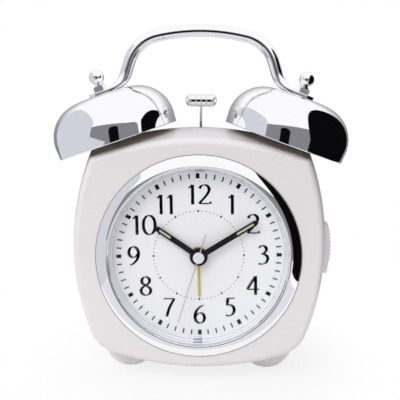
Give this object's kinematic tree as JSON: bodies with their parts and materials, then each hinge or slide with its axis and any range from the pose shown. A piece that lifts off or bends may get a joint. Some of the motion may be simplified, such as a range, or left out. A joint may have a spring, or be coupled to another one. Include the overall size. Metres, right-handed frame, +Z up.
{
  "type": "alarm clock",
  "caption": "Twin-bell table alarm clock with carrying handle, hammer between the bells, lit dial, light button and quartz movement.",
  "frame": {"origin": "middle of the clock on the table, halfway between its feet", "axes": "+X to the right seen from the front, +Y to the back, +Z up; the dial faces -Y"},
  "size_m": [0.1434, 0.0604, 0.1689],
  "materials": {
    "pearl_case": "gloss",
    "chrome_trim": "polished",
    "rubber_pad": "matt",
    "clear_lens": "clear",
    "grey_flange": "satin",
    "dial_print": "matt",
    "black_plastic": "satin",
    "white_plastic": "satin",
    "clear_plastic": "frosted",
    "steel": "satin",
    "brass": "satin",
    "copper": "lacquered",
    "board_green": "satin",
    "magnet": "satin",
    "hand_black": "satin",
    "lume_green": "matt",
    "hand_silver": "bright",
    "hand_yellow": "satin",
    "lamp_orange": "satin",
    "cell_skin": "satin"
  },
  "bodies": {
    "case": {"front_case": "pearl_case", "rear_cover": "pearl_case", "foot_pads": "rubber_pad", "bezel_ring": "chrome_trim", "lens": "clear_lens", "dial_flange": "grey_flange", "dial_plate": "dial_print", "dial_lamps": "lamp_orange", "left_bell": "chrome_trim", "right_bell": "chrome_trim", "left_bell_post": "steel", "right_bell_post": "steel", "left_finial": "chrome_trim", "right_finial": "chrome_trim", "bell_nuts": "chrome_trim", "handle": "chrome_trim", "movement_front": "white_plastic", "train_bridge": "white_plastic", "movement_back": "black_plastic", "circuit_board": "board_green", "motor_stator": "steel", "motor_coil": "copper", "pivot_pin": "steel", "hammer_spring": "steel", "striker_bracket": "steel", "striker_core": "steel", "striker_coil": "copper", "switch_board": "board_green", "button_spring": "steel", "battery_cells": "cell_skin", "battery_contacts": "steel", "case_screws": "steel", "inner_screws": "steel"},
    "hammer": {"hammer_head": "chrome_trim", "hammer_rod": "steel", "hammer_arm": "black_plastic", "armature_magnet": "magnet"},
    "minute": {"cannon_pinion": "white_plastic", "minute_hand": "hand_black", "minute_lume": "lume_green"},
    "hour": {"hour_wheel": "white_plastic", "hour_hand": "hand_black", "hour_lume": "lume_green"},
    "seconds": {"second_wheel": "white_plastic", "second_hand": "hand_silver", "hand_cap": "hand_silver"},
    "centre": {"centre_wheel": "white_plastic"},
    "third": {"third_wheel": "white_plastic"},
    "step": {"step_wheel": "white_plastic"},
    "rotor": {"motor_rotor": "magnet"},
    "hand_setting": {"change_wheel": "white_plastic", "time_set_knob": "white_plastic"},
    "alarm": {"alarm_wheel": "white_plastic", "alarm_hand": "hand_yellow"},
    "alarm_setting": {"alarm_pinion": "white_plastic", "alarm_set_knob": "white_plastic"},
    "light_button": {"light_button": "clear_plastic"},
    "alarm_switch": {"alarm_switch": "black_plastic"},
    "battery_door": {"battery_door": "pearl_case"}
  },
  "joints": [
    {"name": "minute_turn", "type": "hinge", "parent": "case", "child": "minute", "pos_m": [0, 0, 0.061], "axis": [0, 1, 0], "continuous": true},
    {"name": "hour_turn", "type": "hinge", "parent": "case", "child": "hour", "pos_m": [0, 0, 0.061], "axis": [0, 1, 0], "continuous": true},
    {"name": "hand_setting_turn", "type": "hinge", "parent": "case", "child": "hand_setting", "pos_m": [-0.01131, 0, 0.07231], "axis": [0, 1, 0], "continuous": true},
    {"name": "second_turn", "type": "hinge", "parent": "case", "child": "seconds", "pos_m": [0, 0, 0.061], "axis": [0, 1, 0], "continuous": true},
    {"name": "centre_turn", "type": "hinge", "parent": "case", "child": "centre", "pos_m": [0, 0, 0.061], "axis": [0, 1, 0], "continuous": true},
    {"name": "third_turn", "type": "hinge", "parent": "case", "child": "third", "pos_m": [0.01247, 0, 0.0538], "axis": [0, 1, 0], "continuous": true},
    {"name": "step_turn", "type": "hinge", "parent": "case", "child": "step", "pos_m": [-0.00328, 0, 0.05198], "axis": [0, 1, 0], "continuous": true},
    {"name": "rotor_turn", "type": "hinge", "parent": "case", "child": "rotor", "pos_m": [-0.01293, 0, 0.05368], "axis": [0, 1, 0], "continuous": true},
    {"name": "alarm_turn", "type": "hinge", "parent": "case", "child": "alarm", "pos_m": [0, 0, 0.061], "axis": [0, 1, 0], "continuous": true},
    {"name": "alarm_setting_turn", "type": "hinge", "parent": "case", "child": "alarm_setting", "pos_m": [0.01273, 0, 0.07373], "axis": [0, 1, 0], "continuous": true},
    {"name": "hammer_rock", "type": "hinge", "parent": "case", "child": "hammer", "pos_m": [0, 0, 0.105], "axis": [0, 1, 0], "range_deg": [-12.5, 12.5], "stiffness_Nm_per_rad": 0.012},
    {"name": "light_button_press", "type": "slide", "parent": "case", "child": "light_button", "axis": [-1, 0, 0], "range_m": [0, 0.0015], "stiffness_N_per_m": 400, "springref_m": -0.0005, "deforming": ["button_spring"]},
    {"name": "alarm_switch_slide", "type": "slide", "parent": "case", "child": "alarm_switch", "axis": [1, 0, 0], "range_m": [0, 0.004]},
    {"name": "battery_door_off", "type": "slide", "parent": "case", "child": "battery_door", "axis": [0, 1, 0], "range_m": [0, 0.02]}
  ],
  "couplings": [
    {"joint": "hour_turn", "follows": "minute_turn", "ratio": 0.083333},
    {"joint": "hand_setting_turn", "follows": "minute_turn", "ratio": -0.33333},
    {"joint": "centre_turn", "follows": "second_turn", "ratio": 0.016667},
    {"joint": "third_turn", "follows": "second_turn", "ratio": -0.13333},
    {"joint": "step_turn", "follows": "second_turn", "ratio": -5},
    {"joint": "rotor_turn", "follows": "second_turn", "ratio": 30},
    {"joint": "alarm_setting_turn", "follows": "alarm_turn", "ratio": -2}
  ]
}
